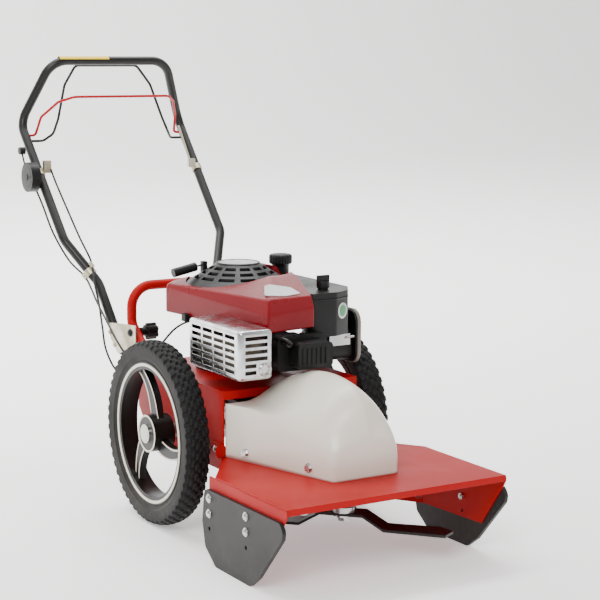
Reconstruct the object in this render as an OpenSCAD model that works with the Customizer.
/* [Wheels] */
// Outside diameter of a tyre
wheel_d = 400; // [380:2:440]
// Width of a tyre
tyre_w = 54; // [44:1:60]
// Distance between the middles of the two tyres
track = 444; // [444:2:480]
// Diameter of the wheel rim at its outer edge
rim_d = 300; // [260:2:320]
// Diameter of the two half shafts
axle_d = 20; // [16:1:26]

/* [Chassis] */
// Width across the two side plates
chassis_w = 330; // [300:2:334]
// Distance from the axle forward to the front edge of the side plates
chassis_front = 192; // [180:1:215]
// Distance from the axle back to the rear edge of the side plates
chassis_rear = 207; // [200:1:240]
// Height of the engine plate's top face above the ground
engine_z = 318; // [312:1:340]
// Thickness of the side plates and the engine plate
plate_t = 4; // [3:0.5:6]

/* [Deck] */
// Width across the side walls of the cutting deck
deck_w = 510; // [480:2:540]
// Distance from the axle forward to the front edge of the deck
deck_reach = 603; // [590:1:660]
// Height of the top face of the deck
deck_z = 180; // [170:1:200]
// Thickness of the deck sheet
deck_t = 4; // [2:0.5:5]
// Depth of the deck's side walls
deck_depth = 125; // [100:1:135]
// Thickness of a skid plate
skid_t = 8; // [5:0.5:12]
// Radius of the holes for the skid bolts
skid_hole_r = 4.2; // [3:0.1:5]

/* [Cutter] */
// Distance from the axle forward to the blade spindle
spindle_reach = 400; // [385:1:420]
// Radius of the circle that the blade tips sweep
blade_r = 225; // [180:1:240]
// Width of the blade bar
blade_w = 58; // [40:1:70]
// Thickness of the blade bar
blade_t = 6; // [4:0.5:8]
// Diameter of the spindle shaft
spindle_d = 25; // [20:1:30]

/* [Belts] */
// Pitch radius of the engine pulley for the blade belt
engine_pulley_r = 40; // [34:1:50]
// Pitch radius of the spindle pulley
spindle_pulley_r = 55; // [45:1:62]
// Pitch radius of the engine pulley for the drive belt
drive_pulley_r = 28; // [24:1:32]
// Pitch radius of the gearbox pulley
gearbox_pulley_r = 45; // [36:1:52]

/* [Cowl] */
// Half width of the cowl at its rear edge
cowl_rear_w = 160; // [140:1:162]
// Half width of the cowl at its front face
cowl_front_w = 77; // [70:1:100]
// Height of the cowl's crest above the ground
cowl_top = 367; // [350:1:375]
// Thickness of the cowl's sheet
cowl_t = 2; // [1.5:0.5:4]

/* [Engine] */
// Diameter of the crankshaft
crank_d = 25; // [22:1:28]
// Distance from the axle back to the crankshaft
crank_back = 39; // [30:1:50]
// Radius of the round recoil starter cover
recoil_r = 115; // [100:1:118]
// Height of the starter cover's top disc above the engine plate
recoil_h = 233; // [215:1:245]
// Radius of the fuel cap
fuel_cap_r = 27; // [22:1:29]

/* [Handle] */
// Outside diameter of the handlebar tube
bar_d = 22; // [18:1:26]
// Half width of the handlebar at its clamps, and of the lifting bow
clamp_x = 158; // [140:1:159]
// Half width of the handlebar at its widest bends
bar_x = 219; // [200:1:240]
// Height of the top bar above the ground
bar_z = 985; // [900:5:1050]
// Outside diameter of the lifting bow's tube
bow_d = 22; // [18:1:24]
// Diameter of the bail wires
wire_d = 6.5; // [5:0.5:8]
// Diameter of the control cables
cable_d = 5; // [4:0.5:6]

/* [Hidden] */
$fn = 96;

// Clearances
gap = 0.3;         // between curved faces of pieces that move past each other
run = 0.05;        // radial, between a shaft and its bearing

// Colours
paint_red = "#c8201c";
shroud_red = "#a81830";
cream = "#d8cfc0";
black = "#1c1c1e";
dark = "#35332f";
silver = "#c4c6c8";
zinc = "#b9b4a2";

// Heights and places shared by several pieces
axle_z = wheel_d / 2;
tyre_x = track / 2;
spindle_y = -spindle_reach;
crank_y = crank_back;
side_x = chassis_w / 2;
wall_t = 3;
deck_front = -deck_reach;
deck_under = deck_z - deck_t;
wall_z = deck_z - deck_depth;
deck_x = deck_w / 2;
chamfer_y = -325;
deck_rear_y = -chassis_front - 3;
tongue_y = -120;
skid_x = deck_x + skid_t / 2;
skid_rows = [135, 104];
spare_row = 73;
skid_bolt_y = [-463, -315];
blade_belt_z = engine_z - 68;
drive_belt_z = engine_z - 43;
blade_arm_z = blade_belt_z + 14;
drive_arm_z = drive_belt_z - 18;
belt_w = 8;
belt_h = 7;
groove_w = belt_w + 1;
groove_depth = 9;
input_y = 130;
pivot_y = 232;
pivot_z = engine_z + 60;
bow_y = 254;
bow_top = engine_z + 163;
bow_foot_y = 151;
hinge_bolt_r = 5;
blade_z = 88;
blade_turn = -47;
shroud_z = engine_z + 122;
shroud_top = engine_z + 184;
tank_z = engine_z + 96;
tank_top = engine_z + 190;
cap_at = [145, 100];
grip_from = [-78, 92, shroud_top + 38];
grip_to = [-134, 92, shroud_top + 27];
dip_at = [100, -155];
idler_post_r = 8;
blade_post = [120, -40];
blade_idler_at = [75, -120];
drive_post = [-95, 10];
drive_idler_at = [-60, 85];

// Handlebar centre line, from the right clamp to the middle of the top bar
bar_right = [
  [-clamp_x, 303, 322 + engine_z - 318],
  [-clamp_x, 434, 466 + engine_z - 318],
  [-bar_x + 7, 510, 563 + engine_z - 318],
  [-bar_x, 755, bar_z - 153],
  [-156, 699, bar_z]
];
bar_bends = [60, 60, 50, 60, 60, 50, 60, 60];
leg_low = bar_right[2];
leg_high = bar_right[3];
leg_dir = unit(leg_high - leg_low);
red_pivot = leg_at(leg_high[1] - 28);
black_pivot = leg_at(leg_high[1] - 40);
throttle_at = leg_at(640);

// The origin stands on the ground in the middle of the machine's length
rear_y = bend_reach(bar_right[2], bar_right[3], bar_right[4], bar_bends[2]) + bar_d / 2;
front_y = deck_front;
middle_y = (front_y + rear_y) / 2;

function unit(v) = v / norm(v);
function mid(a, b, t) = a + (b - a) * t;
function leg_at(y) = mid(leg_low, leg_high, (y - leg_low[1]) / (leg_high[1] - leg_low[1]));
function mirrored(p) = [for (i = [len(p) - 1:-1:0]) [-p[i][0], p[i][1], p[i][2]]];

// Turn angle at point b, and how far the bend there takes from each side
function turn(a, b, c) = acos(max(-1, min(1, unit(b - a) * unit(c - b))));
function trim(a, b, c, r) = r * tan(turn(a, b, c) / 2);
function bend_normal(a, b, c) = let (u = unit(b - a), v = unit(c - b)) unit(v - u * (u * v));
function bend_centre(a, b, c, r) = b - unit(b - a) * trim(a, b, c, r) + bend_normal(a, b, c) * r;
function bend_reach(a, b, c, r) = let (n = unit(cross(unit(b - a), unit(c - b))))
  bend_centre(a, b, c, r)[1] + r * sqrt(1 - n[1] * n[1]);

// A straight round bar between two points
module rod(a, b, r) {
  d = b - a;
  translate(a) rotate([0, acos(d[2] / norm(d)), atan2(d[1], d[0])]) cylinder(h = norm(d), r = r);
}

// Stations along points p with a bend radius at each inner point: [place, direction] pairs
function bend_stations(p, bends, n = 5) = let (last = len(p) - 1) concat(
  [[p[0], unit(p[1] - p[0])]],
  [for (i = [1:last - 1]) let (u = unit(p[i] - p[i - 1]), w = bend_normal(p[i - 1], p[i], p[i + 1]),
    r = bends[i - 1],
    o = bend_centre(p[i - 1], p[i], p[i + 1], r), a = turn(p[i - 1], p[i], p[i + 1]))
    for (j = [0:n]) let (f = a * j / n) [o + (u * sin(f) - w * cos(f)) * r, u * cos(f) + w * sin(f)]],
  [[p[last], unit(p[last] - p[last - 1])]]);

// A smooth curve through points p, with n steps in each span
function catmull(a, b, c, d, t) =
  (b * 2 + (c - a) * t + (a * 2 - b * 5 + c * 4 - d) * t * t + (b * 3 - a - c * 3 + d) * t * t * t) / 2;
function smooth(p, n) = let (m = len(p) - 1) concat(
  [for (i = [0:m - 1], k = [0:n - 1])
    catmull(p[max(i - 1, 0)], p[i], p[i + 1], p[min(i + 2, m)], k / n)], [p[m]]);
function curve_stations(p, n = 4) = let (q = smooth(p, n), m = len(q))
  [for (i = [0:m - 1]) [q[i], unit(q[min(i + 1, m - 1)] - q[max(i - 1, 0)])]];

// One closed skin of radius r round a list of stations, its rings carried along without twist
module sweep(stations, r, sides) {
  m = len(stations);
  t = [for (s = stations) s[1]];
  start = unit(cross(t[0], abs(t[0][2]) < 0.9 ? [0, 0, 1] : [0, 1, 0]));
  side = [for (i = 0, e = start; i < m; i = i + 1, e = i < m ? unit(e - t[i] * (e * t[i])) : e) e];
  skin = [for (i = [0:m - 1], k = [0:sides - 1]) let (a = k * 360 / sides)
    stations[i][0] + (side[i] * cos(a) + cross(side[i], t[i]) * sin(a)) * r];
  walls = [for (i = [0:m - 2], k = [0:sides - 1])
    let (a = i * sides, b = (k + 1) % sides) [a + k, a + b, a + sides + b, a + sides + k]];
  ends = [[for (k = [sides - 1:-1:0]) k], [for (k = [0:sides - 1]) (m - 1) * sides + k]];
  polyhedron(skin, concat(walls, ends), convexity = 8);
}

module bent_rod(p, r, bends, sides = 12) { sweep(bend_stations(p, bends), r, sides); }

module cable(p, r) { sweep(curve_stations(p), r, 8); }

// Moves a piece from the axle's frame to the origin
module place() { translate([0, -middle_y, 0]) children(); }

// Shapes that repeat
module at_side(x) { translate([x, 0, 0]) rotate([90, 0, 90]) children(); }

module side_plate(x, t, outline) { translate([x - t / 2, 0, 0]) rotate([90, 0, 90]) linear_extrude(t)
  polygon(outline); }

module x_rod(x0, x1, y, z, r) { translate([x0, y, z]) rotate([0, 90, 0]) cylinder(h = x1 - x0, r = r); }

function arc_points(c, r, a0, a1, n) = [for (i = [0:n]) let (a = a0 + (a1 - a0) * i / n) c + r
  * [cos(a), sin(a)]];

function rounded(w, h, r, n = 6) = concat(
  arc_points([w / 2 - r, h / 2 - r], r, 0, 90, n), arc_points([-w / 2 + r, h / 2 - r], r, 90, 180, n),
  arc_points([-w / 2 + r, -h / 2 + r], r, 180, 270, n), arc_points([w / 2 - r, -h / 2 + r], r, 270, 360, n));

// A block with rounded vertical corners
module block(x0, x1, y0, y1, z0, z1, r = 5) {
  translate([(x0 + x1) / 2, (y0 + y1) / 2, z0]) linear_extrude(z1 - z0) polygon(rounded(x1 - x0, y1 - y0, r));
}

// A block with rounded corners seen along Y
module front_block(x0, x1, y0, y1, z0, z1, r = 5) {
  translate([(x0 + x1) / 2, y1, (z0 + z1) / 2]) rotate([90, 0, 0])
    linear_extrude(y1 - y0) polygon(rounded(x1 - x0, z1 - z0, r));
}

// A domed bolt head with a washer, standing on the face at x and pointing along side
module dome_bolt(at, side, r = 9) {
  translate(at) rotate([0, 90 * side, 0]) {
    cylinder(h = 1.6, r = r);
    translate([0, 0, 1.6]) intersection() {
      translate([0, 0, -r * 0.55]) sphere(r = r * 1.1);
      cylinder(h = r * 0.55, r = r * 0.85);
    }
  }
}

// A hexagon bolt head with a washer, pointing along -Y
module hex_bolt(at, turn_z = 0, r = 7) {
  translate(at) rotate([0, 0, turn_z]) rotate([90, 0, 0]) {
    cylinder(h = 1.6, r = r * 1.35);
    translate([0, 0, 1.6]) cylinder(h = r * 0.8, r = r, $fn = 6);
  }
}

// The round groove of a pulley: a solid disc with one V groove of pitch radius r
module groove_disc(r, z, rim = 3, hub_r = 0) {
  half = groove_w / 2 + 1.6;
  translate([0, 0, z]) rotate_extrude() polygon([
    [hub_r, -half - rim], [r + 4, -half - rim], [r + 4, -half], [r - groove_depth, -groove_w / 2],
    [r - groove_depth, groove_w / 2], [r + 4, half], [r + 4, half + rim], [hub_r, half + rim]
  ]);
}

// The outline of a belt round two pulleys on the line x = 0, at radii ra and rb
function belt_outline(ya, ra, yb, rb, n = 24) = let (s = asin((rb - ra) / (yb - ya))) concat(
  arc_points([0, yb], rb, -s, 180 + s, n), arc_points([0, ya], ra, 180 + s, 360 - s, n));

module belt(ya, ra, yb, rb, z) {
  inner = groove_depth - 1;
  translate([0, 0, z - belt_w / 2]) linear_extrude(belt_w) difference() {
    polygon(belt_outline(ya, ra - inner + belt_h, yb, rb - inner + belt_h));
    polygon(belt_outline(ya, ra - inner, yb, rb - inner));
  }
}

// An outline with every corner rounded to radius r
function fillet(p, r, n = 4) = let (m = len(p)) [for (i = [0:m - 1])
  let (a = p[(i + m - 1) % m], b = p[i], c = p[(i + 1) % m], u = unit(a - b), v = unit(c - b),
    half = acos(u * v) / 2, q = min(r, tan(half) * min(norm(a - b), norm(c - b)) / 2.1),
    o = b + unit(u + v) * q / sin(half), s = o + (b + u * q / tan(half) - o), e = b + v * q / tan(half),
    a0 = atan2(s[1] - o[1], s[0] - o[0]), a1 = atan2(e[1] - o[1], e[0] - o[0]),
    d = a1 - a0 > 180 ? a1 - a0 - 360 : a1 - a0 < -180 ? a1 - a0 + 360 : a1 - a0)
  for (k = [0:n]) o + q * [cos(a0 + d * k / n), sin(a0 + d * k / n)]];

// Two side plates joined by the engine plate, a front lip and a rear wall, with the idlers' posts
module chassis_frame() {
  outline = [[-chassis_front, 150], [-chassis_front, engine_z - plate_t],
    [chassis_rear - 18, engine_z - plate_t],
    [chassis_rear, engine_z - 22], [chassis_rear, axle_z + 15], [chassis_rear - 57, 150]];
  color(paint_red) difference() {
    union() {
      for (s = [-1, 1]) side_plate(s * (side_x - plate_t / 2), plate_t, outline);
      translate([-side_x, -chassis_front, engine_z - plate_t])
        cube([chassis_w, chassis_front + chassis_rear - 18, plate_t]);
      translate([-side_x, -chassis_front, engine_z - plate_t - 14]) cube([chassis_w, wall_t, 14]);
      translate([-side_x + plate_t, chassis_rear - 21, 190])
        cube([chassis_w - 2 * plate_t, wall_t, engine_z - plate_t - 190]);
      for (p = [[blade_post, blade_arm_z - 4], [drive_post, drive_arm_z - 4]])
        translate([p[0][0], p[0][1], p[1]]) cylinder(h = engine_z - plate_t - p[1], r = idler_post_r);
    }
    translate([0, crank_y, engine_z - 2 * plate_t]) cylinder(h = 3 * plate_t, r = crank_d / 2 + 8);
    x_rod(-side_x - 1, side_x + 1, 0, axle_z, bush_r);
  }
}

bush_r = axle_d / 2 + 6;
tongue_x = side_x - plate_t - gap;
deck_outline = [[-deck_x, deck_front], [deck_x, deck_front], [deck_x, chamfer_y], [side_x, deck_rear_y],
  [tongue_x, deck_rear_y], [tongue_x, tongue_y], [-tongue_x, tongue_y], [-tongue_x, deck_rear_y],
  [-side_x, deck_rear_y], [-deck_x, chamfer_y]];

// The deck's top sheet, with a tongue that runs back between the side plates
module deck_plate() {
  color(paint_red) difference() {
    union() {
      translate([0, 0, deck_under]) linear_extrude(deck_t) polygon(deck_outline);
      translate([-deck_x + wall_t + gap, deck_front, deck_under - 9])
        cube([deck_w - 2 * wall_t - 2 * gap, wall_t, 9]);
    }
    translate([0, spindle_y, deck_under - 1]) cylinder(h = deck_t + 2, r = housing_r + 1);
  }
}

// The deck's turned-down sides, drilled for the skid bolts
module deck_side_walls() {
  outline = [[deck_front, deck_under], [deck_front, deck_under - 8], [deck_front + 10, deck_under - 24],
    [deck_front + 75, wall_z + 7], [skid_bolt_y[1] + 15, wall_z], [skid_bolt_y[1] + 15, deck_under]];
  color(paint_red) for (s = [-1, 1]) {
    difference() {
      side_plate(s * (deck_x - wall_t / 2), wall_t, outline);
      skid_holes();
    }
    difference() {
      translate([0, 0, wall_z]) linear_extrude(deck_depth - deck_t) polygon([[s * deck_x, chamfer_y],
        [s * side_x, deck_rear_y], [s * (side_x - wall_t), deck_rear_y], [s * (deck_x - wall_t), chamfer_y]]);
      for (z = concat(skid_rows, [spare_row])) x_rod(s * deck_x - 20, s * deck_x + 20, skid_bolt_y[1], z, 10);
    }
  }
}

// Holes for the skid bolts, and one spare row below them
module skid_holes() {
  for (y = skid_bolt_y, z = concat(skid_rows, [spare_row]))
    x_rod(-deck_x - 20, deck_x + 20, y, z, skid_hole_r);
}

// A skid plate, an outline with every corner rounded
module skid(side) {
  outline = [[-294, 151], [-590, 153], [-601, 137], [-598, 122], [-512, 25], [-478, 0], [-341, 0],
    [-297, 32], [-285, 82]];
  color(dark) difference() {
    side_plate(side * skid_x, skid_t, fillet(outline, 14));
    skid_holes();
  }
}
module skid_right() { skid(-1); }
module skid_left() { skid(1); }

// Domed bolts through each skid and side wall, with their nuts inside
module skid_bolts() {
  color(silver) for (s = [-1, 1], y = skid_bolt_y, z = skid_rows) {
    dome_bolt([s * (deck_x + skid_t), y, z], s);
    x_rod(min(s * (deck_x - wall_t - 8), s * (deck_x + skid_t)),
      max(s * (deck_x - wall_t - 8), s * (deck_x + skid_t)),
      y, z, skid_hole_r - 0.2);
    translate([s * (deck_x - wall_t), y, z]) rotate([0, -90 * s, 0]) cylinder(h = 6, r = 7.5, $fn = 6);
  }
}

// The cowl's surface: half width, shoulder height, crest height and height at (x, y)
cowl_rear_y = -chassis_front - 2;
cowl_front_y = spindle_y - 82;
function cowl_part(y) = (cowl_rear_y - y) / (cowl_rear_y - cowl_front_y);
function ease(t) = let (u = max(0, min(1, t))) u * u * (3 - 2 * u);
function cowl_w(y) = cowl_rear_w + (cowl_front_w - cowl_rear_w) * cowl_part(y);
function cowl_shoulder(y) = cowl_top - 74 - 65 * ease((cowl_part(y) - 0.2) / 0.9);
function cowl_crest(y) = cowl_top - 34 * pow((cowl_part(y) - 0.5) * 2, 2);
function hump(x, y) = let (a = abs(x) / cowl_w(y), b = min(1, abs(x) / 118), m = ease(cowl_part(y) * 1.15))
  (1 - m) * (1 + cos(180 * b)) / 2 + m * pow(max(0, 1 - pow(min(1, a), 1.3)), 0.62);
function cowl_z(x, y) = cowl_shoulder(y) + (cowl_crest(y) - cowl_shoulder(y)) * hump(x, y);

// The cowl: one pressed sheet, open at the rear and underneath
module belt_cowl() {
  steps = 16;
  across = 26;
  ys = [for (i = [0:steps]) cowl_rear_y + (cowl_front_y - cowl_rear_y) * i / steps];
  function ring(y, y_at, t) = concat([[-cowl_w(y) + t, y_at, deck_z]],
    [for (k = [0:across]) let (u = sin(-90 + 180 * k / across)) [u * (cowl_w(y) - t), y_at,
      cowl_z(u * cowl_w(y), y) - t]],
    [[cowl_w(y) - t, y_at, deck_z]]);
  n = across + 3;
  skin = concat([for (y = ys) each ring(y, y, 0)],
    [for (y = ys) each ring(y, max(y, cowl_front_y + cowl_t), cowl_t)]);
  inner = (steps + 1) * n;
  last = steps * n;
  outer_faces = [for (i = [0:steps - 1], k = [0:n - 2]) let (a = i * n + k) [a, a + n, a + n + 1, a + 1]];
  inner_faces = [for (i = [0:steps - 1], k = [0:n - 2]) let (a = inner + i * n + k) [a, a + 1, a + n + 1, a
    + n]];
  rear_faces = [for (k = [0:n - 2]) [k, k + 1, inner + k + 1, inner + k]];
  left_faces = [for (i = [0:steps - 1]) let (a = i * n) [a, inner + a, inner + a + n, a + n]];
  right_faces = [for (i = [0:steps - 1]) let (a = i * n + n - 1) [a, a + n, inner + a + n, inner + a]];
  front_faces = [[for (k = [n - 1:-1:0]) last + k], [for (k = [0:n - 1]) inner + last + k],
    [last + n - 1, last, inner + last, inner + last + n - 1]];
  faces = concat(outer_faces, inner_faces, rear_faces, left_faces, right_faces, front_faces);
  color(cream) polyhedron(skin, [for (f = faces) [for (i = [len(f) - 1:-1:0]) f[i]]], convexity = 10);
}

cowl_bolt_y = [-250, -419];
cowl_bolt_z = deck_z + 19;
cowl_lean = atan((cowl_rear_w - cowl_front_w) / (cowl_rear_y - cowl_front_y));
bracket_bolts = [[-139, 193], [-166, 193]];

// The cowl's hexagon bolts and the domed bolts of the deck brackets
module frame_bolts() {
  color(silver) {
    for (s = [-1, 1], y = cowl_bolt_y)
      hex_bolt([s * (cowl_w(y) + 0.05), y, cowl_bolt_z], s * (90 - cowl_lean));
    for (s = [-1, 1], b = bracket_bolts) dome_bolt([s * (side_x + wall_t), b[0], b[1]], s, 7);
  }
}

// Brackets that tie the deck to the side plates, and the cowl's inner tabs
module deck_brackets() {
  color(paint_red) for (s = [-1, 1]) {
    side_plate(s * (side_x + wall_t / 2), wall_t,
      [[deck_rear_y + 3, 162], [deck_rear_y + 3, 208], [-150, 208], [-125, 196], [-125, 162]]);
    translate([s * (side_x + 6), deck_rear_y + 3, deck_z + 13]) rotate([90, 0, 0])
      linear_extrude(wall_t) polygon(rounded(22, 26, 7));
    for (y = cowl_bolt_y) {
      translate([s * (cowl_w(y) - cowl_t - 2), y, deck_z]) rotate([0, 0, s * -cowl_lean])
        translate([-1.5, -12, 0]) cube([3, 24, 32]);
    }
  }
}

// A hanging plate behind the blade, bent over at its top
module rear_deflector() {
  color(silver) {
    translate([-150, deck_rear_y + 29, 90]) cube([300, 3, deck_under - 90]);
    translate([-150, deck_rear_y + 32, deck_under - 2]) cube([300, 14, 2]);
  }
}

// The bow that lifts the front of the machine and carries the handlebar's pivot
module lifting_bow() {
  slope = (bow_top - 86 - engine_z) / (bow_y - bow_foot_y);
  start = bow_d * 0.42;
  half = [[-clamp_x, bow_foot_y + start / slope, engine_z + start], [-clamp_x, bow_y, bow_top - 86],
    [-clamp_x, bow_y, bow_top]];
  color(paint_red) difference() {
    union() {
      bent_rod(concat(half, mirrored(half)), bow_d / 2, [25, 49, 49, 25], 20);
      for (s = [-1, 1])
        block(s * clamp_x - 13, s * clamp_x + 13, bow_foot_y - 28, bow_foot_y + 36, engine_z, engine_z + 5);
    }
    x_rod(-clamp_x - 30, clamp_x + 30, pivot_y, pivot_z, hinge_bolt_r + run);
  }
}

housing_r = 31;
bearing_r = 26;
// A flanged housing for the two spindle bearings
module spindle_housing() {
  color(silver) translate([0, spindle_y, 0]) difference() {
    union() {
      translate([0, 0, 108]) cylinder(h = deck_z + 24 - 108, r = housing_r);
      translate([0, 0, deck_under - 7]) cylinder(h = 7, r = housing_r + 31);
    }
    translate([0, 0, 100]) cylinder(h = deck_z, r = bearing_r);
  }
}

module spindle_bearings() {
  color(silver) for (z = [110, deck_z + 8]) translate([0, spindle_y, z]) difference() {
    cylinder(h = 15, r = bearing_r);
    translate([0, 0, -1]) cylinder(h = 17, r = spindle_d / 2 + run);
  }
}

// The drive gearbox, with the half shafts' bore across it and the input's bore down it
module gearbox_case() {
  color(silver) difference() {
    union() {
      x_rod(-58, 58, 0, axle_z, 30);
      block(-40, 40, 0, chassis_rear - 21, axle_z - 28, axle_z + 30, 8);
      translate([0, input_y, axle_z + 30]) cylinder(h = 22, r = 20);
    }
    x_rod(-60, 60, 0, axle_z, axle_d / 2 + run);
    translate([0, input_y, axle_z - 12]) cylinder(h = 70, r = input_r + run);
  }
}
input_r = 9;

// Flanged bushes that carry the half shafts in the side plates
module axle_bushes() {
  color("#8a6a3a") for (s = [-1, 1]) difference() {
    union() {
      x_rod(min(s * (side_x - plate_t - 6), s * side_x), max(s * (side_x - plate_t - 6), s * side_x), 0,
        axle_z, bush_r);
      x_rod(min(s * side_x, s * (side_x + 4)), max(s * side_x, s * (side_x + 4)), 0, axle_z, bush_r + 7);
    }
    x_rod(-side_x - 9, side_x + 9, 0, axle_z, axle_d / 2 + run);
  }
}

head_y = -215;
cyl_z = engine_z + 74;
// Crankcase, finned cylinder and head, with the bosses that carry the shroud
module engine_block() {
  color(black) difference() {
    union() {
      translate([0, crank_y, engine_z]) {
        cylinder(h = 26, r = 95);
        cylinder(h = 128, r = 76);
      }
      front_block(-50, 50, head_y, crank_y, cyl_z - 30, tank_z, 12);
      block(shroud_plan[0][0] + shroud_t, shroud_plan[4][0] - shroud_t, crank_y - 10, crank_y + 10,
        shroud_z - 10, shroud_z + 6, 2);
      block(-12, 12, crank_y, shroud_plan[5][1] - shroud_t, shroud_z - 10, shroud_z + 6, 2);
      for (i = [0:8]) front_block(-62, 62, head_y + i * 12, head_y + i * 12 + 3.5, cyl_z - 38, tank_z, 14);
      front_block(-60, 60, head_y - 22, head_y, cyl_z - 36, cyl_z + 38, 10);
    }
    translate([0, crank_y, engine_z - 1]) cylinder(h = 200, r = crank_d / 2 + run);
  }
}

// The ribbed cover in front of the cylinder head
module head_cover() {
  color(dark) {
    front_block(-34, 50, head_y - 62, head_y - 22, cyl_z - 27, cyl_z + 27, 11);
    for (i = [0:5]) front_block(-24 + i * 11, -20 + i * 11, head_y - 64, head_y - 62, cyl_z - 18, cyl_z
      + 16, 1.5);
  }
}

guard_x0 = -178;
guard_x1 = -98;
guard_y0 = -285;
guard_y1 = -62;
guard_z0 = engine_z + 37;
guard_z1 = engine_z + 142;
// Muffler box, its exhaust pipe and the two studs that hold its guard
module muffler() {
  color("#77736e") {
    block(guard_x0 + 9, guard_x1 - 6, guard_y0 + 14, guard_y1 - 14, guard_z0 + 12, shroud_z - 6, 14);
    x_rod(guard_x1 - 20, -62, head_y + 14, cyl_z, 13);
    for (y = [guard_y0 + 40, guard_y1 - 40]) x_rod(guard_x0 + 2, guard_x0 + 12, y,
      (guard_z0 + guard_z1) / 2, 6);
  }
}

// A slotted sheet guard round the muffler, open towards the engine
module muffler_guard() {
  t = 2;
  color(silver) difference() {
    block(guard_x0, guard_x1, guard_y0, guard_y1, guard_z0, guard_z1, 10);
    block(guard_x0 + t, guard_x1 - t, guard_y0 + t, guard_y1 - t, guard_z0 + t, guard_z1 - t, 8);
    translate([guard_x1 - t - 1, guard_y0 + 12, guard_z0 + 8])
      cube([9, guard_y1 - guard_y0 - 24, guard_z1 - guard_z0 - 16]);
    for (k = [0:5], j = [0:3]) translate([guard_x0 - 1, guard_y0 + 18 + j * 48, guard_z0 + 14 + k * 14])
      cube([6, 42, 6]);
    for (k = [0:5]) translate([guard_x0 + 14, guard_y0 - 1, guard_z0 + 14 + k * 14])
      cube([guard_x1 - guard_x0 - 28, 6, 6]);
    translate([shroud_plan[0][0] - 2.5, guard_y0 - 1, shroud_z - 2]) cube([60, guard_y1 - guard_y0 + 2, 30]);
  }
}

shroud_t = 3;
ridge_run = 165;
ridge_rise = 31;
shroud_plan = [[-140, 118], [-140, -281], [25, -205], [95, -61], [118, 19], [118, 132], [-118, 132]];
function shrink(p, d) = let (m = len(p)) [for (i = [0:m - 1])
  let (a = p[(i + m - 1) % m], b = p[i], c = p[(i + 1) % m], u = unit(b - a), v = unit(c - b),
    n1 = [-u[1], u[0]], n2 = [-v[1], v[0]]) b + (n1 + n2) * d / (1 + n1 * n2)];

// The shroud's outer or inner shape: a plan with a ridge, d inside the outer face
module shroud_solid(d) {
  plan = shrink(shroud_plan, d);
  low = shroud_z - (d > 0 ? 1 : 0);
  translate([0, 0, low]) linear_extrude(shroud_top - d - low) polygon(plan);
  intersection() {
    translate([0, 0, shroud_top - d - 5]) linear_extrude(60) polygon(plan);
    translate([0, 40, shroud_top - d]) rotate([90, 0, 0]) linear_extrude(400)
      polygon([[-140, -6], [-140, 0], [-140 + ridge_run, ridge_rise], [118, ridge_rise], [118, -6]]);
  }
}

// The engine's top shroud, open underneath and round the starter cover
module engine_shroud() {
  color(shroud_red) difference() {
    shroud_solid(0);
    shroud_solid(shroud_t);
    translate([0, crank_y, shroud_z - 5]) cylinder(h = 100, r = recoil_r + gap);
  }
}

// The domed, slotted starter cover, with the block that guides the rope
module recoil_cover() {
  z0 = shroud_top - 3;
  z1 = engine_z + recoil_h;
  guide = grip_from[0] + 14.5;
  color(black) {
    translate([0, crank_y, 0]) difference() {
      rotate_extrude() polygon([[recoil_r - 14, z0 - 14], [recoil_r, z0 - 14], [recoil_r, z0 + 8],
        [recoil_r - 6, z0 + 13], [46, z1], [0, z1], [0, z1 - 4], [44, z1 - 4], [recoil_r - 14, z0 + 6]]);
      for (i = [0:11]) rotate([0, 0, 30 * i + 4]) for (k = [0:2])
        rotate_extrude(angle = 22) translate([56 + 16 * k, z0]) square([9, 60]);
    }
    block(guide, guide + 12, grip_from[1] - 8, grip_from[1] + 8, z0 + 27, grip_from[2] + 11, 3);
  }
}

// Two blank badges, one on the shroud and one on the tank
module badges() {
  color("#c9d0cc") {
    translate([shroud_plan[0][0], 0, shroud_top]) rotate([0, -atan(ridge_rise / ridge_run), 0])
      linear_extrude(1) polygon(fillet([[28, -236], [44, -156], [86, -168], [106, -214], [44, -248]], 6));
    translate(mid([each tank_plan[6], tank_z + 52], [each tank_plan[7], tank_z + 52], 0.5))
      rotate([90, 0, sticker_turn]) cylinder(h = 1.2, r = 17);
  }
}

tank_plan = [[30, -204], [99, -61], [122, 19], [122, 134], [168, 134], [173, -140], [144, -187], [103, -206]];
sticker_turn = atan2(tank_plan[6][1] - tank_plan[7][1], tank_plan[6][0] - tank_plan[7][0]);
// The fuel tank, with a filler neck and a sleeve for the dipstick tube
module fuel_tank() {
  color(dark) difference() {
    union() {
      translate([0, 0, tank_z]) linear_extrude(tank_top - tank_z) polygon(fillet(tank_plan, 14));
      translate([cap_at[0], cap_at[1], tank_top]) cylinder(h = 22, r = fuel_cap_r - 8);
    }
    translate([cap_at[0], cap_at[1], tank_top - 30]) cylinder(h = 60, r = fuel_cap_r - 11);
    translate([dip_at[0], dip_at[1], tank_z - 1]) cylinder(h = 120, r = dip_tube_r + 0.5);
  }
}
dip_tube_r = 11;

// Air cleaner cover on its thinner case
module air_cleaner() {
  color(dark) {
    at_side(0) translate([0, 0, 176]) linear_extrude(15.5) translate([-105, engine_z + 81])
      polygon(rounded(130, 116, 26));
    at_side(0) translate([0, 0, 124]) linear_extrude(52) translate([-105, engine_z + 61])
      polygon(rounded(96, 62, 16));
  }
}

// Carburettor, its control plate, link and lever
module carburettor() {
  color(silver) {
    x_rod(62, 124, -105, engine_z + 62, 16);
    block(76, 108, -126, -84, engine_z + 44, engine_z + 62, 6);
    translate([100, -184, engine_z + 70]) cube([52, 2, 24]);
    translate([114, -183, engine_z + 72]) cube([3, 79, 8]);
    rod([140, -184, engine_z + 86], [158, -190, engine_z + 88], 2.5);
  }
}

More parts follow.
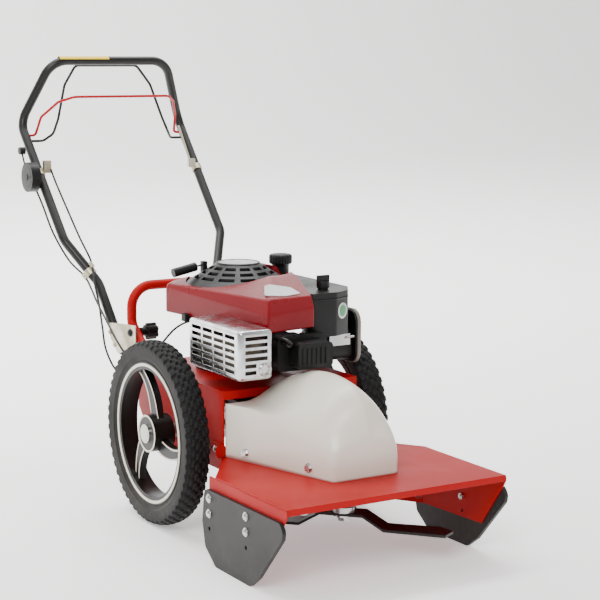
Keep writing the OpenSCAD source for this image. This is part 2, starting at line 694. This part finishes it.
// Spark plug cap and its lead
module spark_lead() {
  color(black) {
    rod([-46, head_y - 22, cyl_z + 26], [-46, head_y - 46, cyl_z + 26], 7);
    cable([[-46, head_y - 46.3, cyl_z + 26], [-52, head_y - 53, cyl_z + 33], [-60, head_y - 40, cyl_z + 38],
      [-66, head_y - 22, cyl_z + 41], [-70, head_y - 6, cyl_z + 54]], 3.5);
  }
}

// The oil filler's tube, sitting on the crankcase
module dipstick_tube() {
  low = engine_z + 13;
  color(black) difference() {
    union() {
      translate([dip_at[0], dip_at[1], low + 10]) cylinder(h = tank_top + 4 - low - 10, r = dip_tube_r);
      rod([dip_at[0], dip_at[1], low + 20], [64, -40, low], 9);
    }
    translate([dip_at[0], dip_at[1], low + 60]) cylinder(h = 200, r = dip_tube_r - 3);
    translate([0, crank_y, engine_z - 1]) cylinder(h = 27.5, r = 95.05);
  }
}

// The blade belt and the drive belt, each running in its pulleys' grooves
module belts() {
  color(black) {
    belt(spindle_y, spindle_pulley_r, crank_y, engine_pulley_r, blade_belt_z);
    belt(crank_y, drive_pulley_r, input_y, gearbox_pulley_r, drive_belt_z);
  }
}

// Return springs of the two idlers, as rings round their posts
module idler_springs() {
  color(zinc) for (p = [[blade_post, blade_arm_z + 6], [drive_post, drive_arm_z + 6]])
    translate([p[0][0], p[0][1], p[1]]) rotate_extrude() for (k = [0:4])
      translate([idler_post_r + 2, k * 3]) circle(r = 1.9, $fn = 16);
}

module wheel_spin(x) { translate([x, 0, axle_z]) rotate([0, 90, 0]) children(); }

// A hollow tyre of revolution on its rim
module tyre(x) {
  ro = wheel_d / 2;
  ri = rim_d / 2;
  half = tyre_w / 2;
  rm = (ro + ri) / 2;
  outer = [for (a = [-64:8:64]) [rm + (ro - rm) * pow(cos(a), 0.55) * (abs(a) > 60 ? 0.98 : 1), half
    * sin(a) / sin(64)]];
  skin = concat([[ri, -18.5], [ri + 8, -19], [rm - 6, -half + 2]], outer,
    [[rm - 6, half - 2], [ri + 8, 19], [ri, 18.5]]);
  core = [for (i = [len(skin) - 2:-1:1]) [ri + (skin[i][0] - ri) * 0.84, skin[i][1] * 0.74]];
  color(dark) wheel_spin(x) rotate_extrude($fn = 128) polygon(concat(skin, [[ri, 13]], core, [[ri, -13]]));
}
module tyre_right() { tyre(-tyre_x); }
module tyre_left() { tyre(tyre_x); }

hub_r = 40;
hub_half = 24;
function spoke(base, r0, r1) = concat(
  [for (s = [0:0.1:1]) let (r = r0 + (r1 - r0) * s, a = base - 65 + 54 * pow(s, 0.6)) [-r * cos(a), r
    * sin(a)]],
  [for (s = [1:-0.1:0]) let (r = r0 + (r1 - r0) * s, a = base - 14 + 14 * s * s) [-r * cos(a), r * sin(a)]]);

// A rim with three curved spokes and a bored hub
module rim(x) {
  ro = rim_d / 2;
  color(black) difference() {
    union() {
      wheel_spin(x) rotate_extrude() polygon([[ro - 12, -20], [ro + 4, -22], [ro + 4, -19.5], [ro, -19.5],
        [ro, 19.5],
        [ro + 4, 19.5], [ro + 4, 22], [ro - 12, 20]]);
      x_rod(x - hub_half, x + hub_half, 0, axle_z, hub_r);
      for (b = [0, 120, 240]) translate([x - 8, 0, axle_z]) rotate([90, 0, 90]) linear_extrude(16)
        polygon(spoke(b, hub_r - 3, ro - 9));
    }
    x_rod(x - 30, x + 30, 0, axle_z, axle_d / 2);
  }
}
module rim_right() { rim(-tyre_x); }
module rim_left() { rim(tyre_x); }

// Half shaft, its collar and the end cap in front of the hub
module half_shaft(side) {
  out = tyre_x + hub_half + 3;
  collar = side_x + 4.5;
  color(silver) {
    x_rod(min(side * 2, side * out), max(side * 2, side * out), 0, axle_z, axle_d / 2);
    x_rod(min(side * collar, side * (tyre_x - hub_half)), max(side * collar, side * (tyre_x - hub_half)),
      0, axle_z, axle_d / 2 + 5);
    translate([side * (tyre_x + hub_half), 0, axle_z]) rotate([0, side * 90, 0]) cylinder(h = 5, r = 20);
  }
}
module half_shaft_right() { half_shaft(-1); }
module half_shaft_left() { half_shaft(1); }

module crankshaft() {
  color(silver) translate([0, crank_y, blade_belt_z - 12])
    cylinder(h = shroud_top - 8 - blade_belt_z + 12, r = crank_d / 2);
}

// Flywheel with its cooling blades
module flywheel_fan() {
  z = engine_z + 136;
  color("#8d8f90") translate([0, crank_y, z]) difference() {
    union() {
      cylinder(h = 14, r = 84);
      cylinder(h = 30, r = 26);
      for (i = [0:15]) rotate([0, 0, i * 22.5]) translate([48, -1.5, 13]) cube([34, 3, 17]);
    }
    translate([0, 0, -1]) cylinder(h = 40, r = crank_d / 2);
  }
}

// Two pulleys on the crankshaft, one for each belt
module crank_pulley() {
  color("#6d6f71") translate([0, crank_y, 0]) {
    groove_disc(engine_pulley_r, blade_belt_z, hub_r = crank_d / 2);
    groove_disc(drive_pulley_r, drive_belt_z, hub_r = crank_d / 2);
    translate([0, 0, blade_belt_z + 9]) difference() {
      cylinder(h = 8, r = 20);
      translate([0, 0, -1]) cylinder(h = 10, r = crank_d / 2);
    }
  }
}

// The blade spindle, flanged under its lower bearing
module spindle_shaft() {
  top = blade_belt_z + 14;
  color(silver) translate([0, spindle_y, 0]) difference() {
    union() {
      translate([0, 0, blade_z + blade_t]) cylinder(h = top - blade_z - blade_t, r = spindle_d / 2);
      translate([0, 0, blade_z + blade_t]) cylinder(h = 11, r = 27);
      translate([0, 0, top - 4]) cylinder(h = 10, r = 15, $fn = 6);
    }
    translate([0, 0, blade_z]) cylinder(h = 34, r = 8);
  }
}

module spindle_pulley() {
  color("#6d6f71") translate([0, spindle_y, 0]) groove_disc(spindle_pulley_r, blade_belt_z,
    hub_r = spindle_d / 2);
}

// The blade: a bar that drops twice, pointed at its cutting corners
module blade_bar() {
  drop = 26;
  side = [[0, 0], [44, 0], [88, -drop], [blade_r, -drop]];
  upper = [for (p = side) [p[0], p[1] + blade_t]];
  profile = concat([for (i = [3:-1:1]) [-side[i][0], side[i][1]]], side,
    [for (i = [3:-1:0]) upper[i]], [for (i = [1:3]) [-upper[i][0], upper[i][1]]]);
  w = blade_w / 2;
  plan = [[-blade_r, -w * 0.2], [-blade_r + 30, -w], [-60, -w * 0.85], [60, -w * 0.85], [blade_r - 10, -w],
    [blade_r, w * 0.2],
    [blade_r - 30, w], [60, w * 0.85], [-60, w * 0.85], [-blade_r + 10, w]];
  color(black) translate([0, spindle_y, blade_z]) rotate([0, 0, blade_turn]) difference() {
    intersection() {
      translate([0, w, 0]) rotate([90, 0, 0]) linear_extrude(blade_w) polygon(profile);
      translate([0, 0, -drop - 5]) linear_extrude(drop + 30) polygon(plan);
    }
    translate([0, 0, -5]) cylinder(h = 30, r = 8.2);
  }
}

// The blade's bolt and washer
module blade_bolt() {
  color(silver) translate([0, spindle_y, 0]) {
    translate([0, 0, blade_z - 4]) cylinder(h = 4, r = 22);
    translate([0, 0, blade_z - 14]) cylinder(h = 10, r = 13, $fn = 6);
    translate([0, 0, blade_z]) cylinder(h = 30, r = 8);
  }
}

// The gearbox pulley on its input shaft
module gearbox_pulley() {
  color("#6d6f71") translate([0, input_y, 0]) {
    groove_disc(gearbox_pulley_r, drive_belt_z);
    translate([0, 0, axle_z - 10]) cylinder(h = drive_belt_z - axle_z + 8, r = input_r);
  }
}

// An idler: a flat arm on its post, with a pin at its free end that carries a smooth roller
module idler(post, roller_at, z_arm, z_belt, roller_r) {
  d = roller_at - post;
  arm_t = 4;
  low = min(z_arm, z_belt - 7) - 2;
  high = max(z_arm + arm_t, z_belt + 7) + 2;
  color(zinc) {
    translate([post[0], post[1], z_arm]) rotate([0, 0, atan2(d[1], d[0]) - 90]) linear_extrude(arm_t)
      difference() {
        polygon(belt_outline(0, 15, norm(d), 12));
        circle(r = idler_post_r + run);
        translate([0, norm(d)]) circle(r = 5);
      }
    translate([roller_at[0], roller_at[1], low]) cylinder(h = high - low, r = 5);
    translate([roller_at[0], roller_at[1], z_belt - 7]) difference() {
      cylinder(h = 14, r = roller_r);
      translate([0, 0, -1]) cylinder(h = 16, r = 5);
    }
  }
}
module blade_idler() { idler(blade_post, blade_idler_at, blade_arm_z, blade_belt_z, 20); }
module drive_idler() { idler(drive_post, drive_idler_at, drive_arm_z, drive_belt_z, 16); }

// The handlebar: one bent tube, drilled for the bails
module handlebar_tube() {
  color(dark) difference() {
    bent_rod(concat(bar_right, mirrored(bar_right)), bar_d / 2, bar_bends, 20);
    for (p = [black_pivot, red_pivot]) x_rod(-bar_x - 8, bar_x + 8, p[1], p[2], wire_d / 2 + gap);
  }
}

// Flat plates that carry the handlebar on the bow's hinge bolts
module pivot_plates() {
  plate_x = clamp_x + bow_d / 2 + gap;
  lift = engine_z - 318;
  outline = fillet([[206, 358 + lift], [206, 398 + lift], [288, 391 + lift], [352, 384 + lift],
    [340, 350 + lift], [300, 318 + lift]], 9);
  color(zinc) for (s = [-1, 1]) {
    difference() {
      side_plate(s * (plate_x + 1.5), 3, outline);
      x_rod(-plate_x - 9, plate_x + 9, pivot_y, pivot_z, hinge_bolt_r + run);
    }
    for (p = [bar_right[0] + [0, 13.5, 14.8], bar_right[0] + [0, 37.7, 41.4]])
      dome_bolt([s * (plate_x + 3), p[1], p[2]], s, 6);
  }
}

lever_z = throttle_at[2];
throttle_x = bar_x + bar_d / 2 - 2.1;
dial_r = 36;
boss_r = 28;
// The throttle's round housing, with the boss that its lever turns on
module throttle_housing() {
  color(dark) {
    x_rod(-throttle_x - 19, -throttle_x, throttle_at[1], lever_z, dial_r);
    x_rod(-throttle_x - 24, -throttle_x - 19, throttle_at[1], lever_z, boss_r);
    x_rod(-throttle_x - 25.5, -throttle_x - 24, throttle_at[1], lever_z, 8);
  }
}

// The throttle lever: a dial, a bent arm and a knob
module throttle_lever() {
  tip = [-throttle_x - 21.5, throttle_at[1] + 36, lever_z + 62];
  color(black) {
    difference() {
      x_rod(-throttle_x - 23.5, -throttle_x - 19.3, throttle_at[1], lever_z, dial_r);
      x_rod(-throttle_x - 30, -throttle_x, throttle_at[1], lever_z, boss_r + run);
    }
    rod(mid([tip[0], throttle_at[1], lever_z], tip, 0.46), tip, 2.1);
    x_rod(tip[0] - 6, tip[0] + 8, tip[1], tip[2], 9);
  }
}

// Control cables above the fold, held by the handlebar, and below it, held by the machine
throttle_route = [[-throttle_x - 8, 616, 672], [-throttle_x - 4, 590, 640], [-227, 540, 578],
  [-209, 490, 517],
  [-183.2, 457.4, 480.3], [-182, 420, 452], [-186, 384, 430]];
drive_route = [[-192, 632, 724], [-190, 606, 692], [-184, 556, 634], [-176, 500, 568], [-168, 460, 522],
  [-171, 436, 494], [-177, 412, 462], [-180, 392, 424]];
throttle_low = [[-186.2, 383.2, 429], [-187, 317, 384], [-186, 269, 350], [-178, 236, 326], [-150, 214, 322],
  [-115, 205, 345], [-85, 180, 388], [-64, 140, 410], [-48.6, 98.7, 410]];
drive_low = [[-174.2, 392, 425], [-174.4, 381, 372], [-174, 362, 318], [-162, 330, 272], [-140, 280, 252],
  [-126, 232, 244], [-122, 189.5, 236]];

module upper_cables() {
  color(black) for (p = [throttle_route, drive_route])
    cable([for (q = p) q + [0, 0, engine_z - 318]], cable_d / 2);
}
module lower_cables() {
  color(black) for (p = [throttle_low, drive_low])
    cable([for (q = p) q + [0, 0, engine_z - 318]], cable_d / 2);
}

// A ring clamped round the handlebar at p, along direction d, with its own extra shapes joined on
module bar_clip(p, d, half, t) {
  difference() {
    union() {
      rod(p - d * half, p + d * half, bar_d / 2 + t);
      children();
    }
    rod(p - d * 60, p + d * 60, bar_d / 2 + run);
  }
}

// Two bail brackets, the bail's rod and the cable clip, each clamped on the tube
module handle_fittings() {
  right = leg_at(646);
  left = [-right[0], right[1], right[2]];
  left_dir = [-leg_dir[0], leg_dir[1], leg_dir[2]];
  bend_dir = unit(bar_right[2] - bar_right[1]);
  clip_at = mid(bar_right[1], bar_right[2], 0.25);
  color(silver) {
    difference() {
      bar_clip(right, leg_dir, 8, 2) translate(right + [10, -8, 2]) cube([18, 12, 30]);
      translate([-throttle_x - 20, right[1] - 40, right[2] - 40]) cube([20.3, 80, 80]);
    }
    bar_clip(left, left_dir, 8, 2) translate(left + [-28, -12, 4]) cube([18, 8, 22]);
    rod(left + [-22, -10, 14], [left[0] - 21, 705, 818], 3);
  }
  color(black) bar_clip(clip_at, bend_dir, 8, 3) {
    for (p = [[-183.2, 457.4, 480.3], [-169.6, 448.5, 508.5]]) rod(p - bend_dir * 7, p + bend_dir * 7, 5);
  }
}

bail_in = bar_x - 3;
// The drive bail: a wire between the handlebar's legs
module black_bail() {
  p = black_pivot;
  half = [[-bail_in, p[1], p[2]], [-176, p[1], p[2]], [-158, 694, 806], [-143, 697, 842],
    [-118, 713, bar_z - 60], [-84, 722, bar_z - 12]];
  color(black) bent_rod(concat(half, mirrored(half)), wire_d / 2, [14, 18, 40, 40, 18, 18, 40, 40, 18, 14]);
}

// The blade bail, a wire that stands clear behind the drive bail
module red_bail() {
  p = red_pivot;
  half = [[-bail_in, p[1], p[2]], [-192, p[1], p[2]], [-185, p[1] - 22, p[2] + 46],
    [-157, p[1] - 66, p[2] + 84], [-128, p[1] - 97, p[2] + 97]];
  color("#d8323a") bent_rod(concat(half, mirrored(half)), wire_d / 2, [9, 20, 20, 20, 20, 20, 20, 9]);
}

// A hinge bolt with a lobed knob inside the bow
module clamp_knob(side) {
  head = clamp_x + bow_d / 2 + gap + 3;
  inner = clamp_x - bow_d / 2;
  color(black) {
    x_rod(min(side * (inner - 36), side * (head + gap)), max(side * (inner - 36), side * (head + gap)),
      pivot_y, pivot_z,
      hinge_bolt_r);
    difference() {
      x_rod(min(side * (inner - 38), side * (inner - 14)), max(side * (inner - 38), side * (inner - 14)),
        pivot_y, pivot_z, 19);
      for (i = [0:5]) x_rod(-clamp_x, clamp_x, pivot_y + 22 * cos(60 * i), pivot_z + 22 * sin(60 * i), 7);
    }
    x_rod(min(side * inner, side * (inner - 14)), max(side * (inner - gap), side * (inner - 14)), pivot_y,
      pivot_z, 10);
    dome_bolt([side * (head + gap), pivot_y, pivot_z], side, 9);
  }
}
module clamp_knob_right() { clamp_knob(-1); }
module clamp_knob_left() { clamp_knob(1); }

// The fuel cap, a skirt with grip ribs over the filler neck
module fuel_cap() {
  color(black) translate([cap_at[0], cap_at[1], tank_top + 3]) difference() {
    union() {
      cylinder(h = 44, r = fuel_cap_r - 1);
      for (i = [0:17]) rotate([0, 0, i * 20]) translate([fuel_cap_r - 3, -1.5, 20]) cube([3, 3, 22]);
    }
    translate([0, 0, -1]) cylinder(h = 20.5, r = fuel_cap_r - 8 + gap);
  }
}

// The dipstick, with a winged grip
module dipstick() {
  color(black) translate([dip_at[0], dip_at[1], tank_top + 4]) {
    cylinder(h = 14, r = 14);
    translate([-15, -3, 14]) cube([30, 6, 13]);
    translate([0, 0, -90]) cylinder(h = 91, r = 3);
    translate([0, 0, -12]) cylinder(h = 12, r = dip_tube_r - 3 - run);
  }
}

// The starter's grip and the end of its rope
module starter_grip() {
  d = unit(grip_to - grip_from);
  color(black) {
    rod(grip_from, grip_to, 10);
    rod(grip_from - d * 14, grip_from + d * 2, 2);
  }
}

place() chassis_frame();
place() deck_plate();
place() deck_side_walls();
place() skid_right();
place() skid_left();
place() skid_bolts();
place() belt_cowl();
place() frame_bolts();
place() deck_brackets();
place() rear_deflector();
place() lifting_bow();
place() spindle_housing();
place() spindle_bearings();
place() gearbox_case();
place() axle_bushes();
place() engine_block();
place() head_cover();
place() muffler();
place() muffler_guard();
place() engine_shroud();
place() recoil_cover();
place() badges();
place() fuel_tank();
place() air_cleaner();
place() carburettor();
place() spark_lead();
place() dipstick_tube();
place() belts();
place() idler_springs();
place() lower_cables();
place() tyre_right();
place() rim_right();
place() half_shaft_right();
place() tyre_left();
place() rim_left();
place() half_shaft_left();
place() crankshaft();
place() flywheel_fan();
place() crank_pulley();
place() spindle_shaft();
place() spindle_pulley();
place() blade_bar();
place() blade_bolt();
place() gearbox_pulley();
place() blade_idler();
place() drive_idler();
place() handlebar_tube();
place() pivot_plates();
place() throttle_housing();
place() upper_cables();
place() handle_fittings();
place() black_bail();
place() red_bail();
place() throttle_lever();
place() clamp_knob_right();
place() clamp_knob_left();
place() fuel_cap();
place() dipstick();
place() starter_grip();
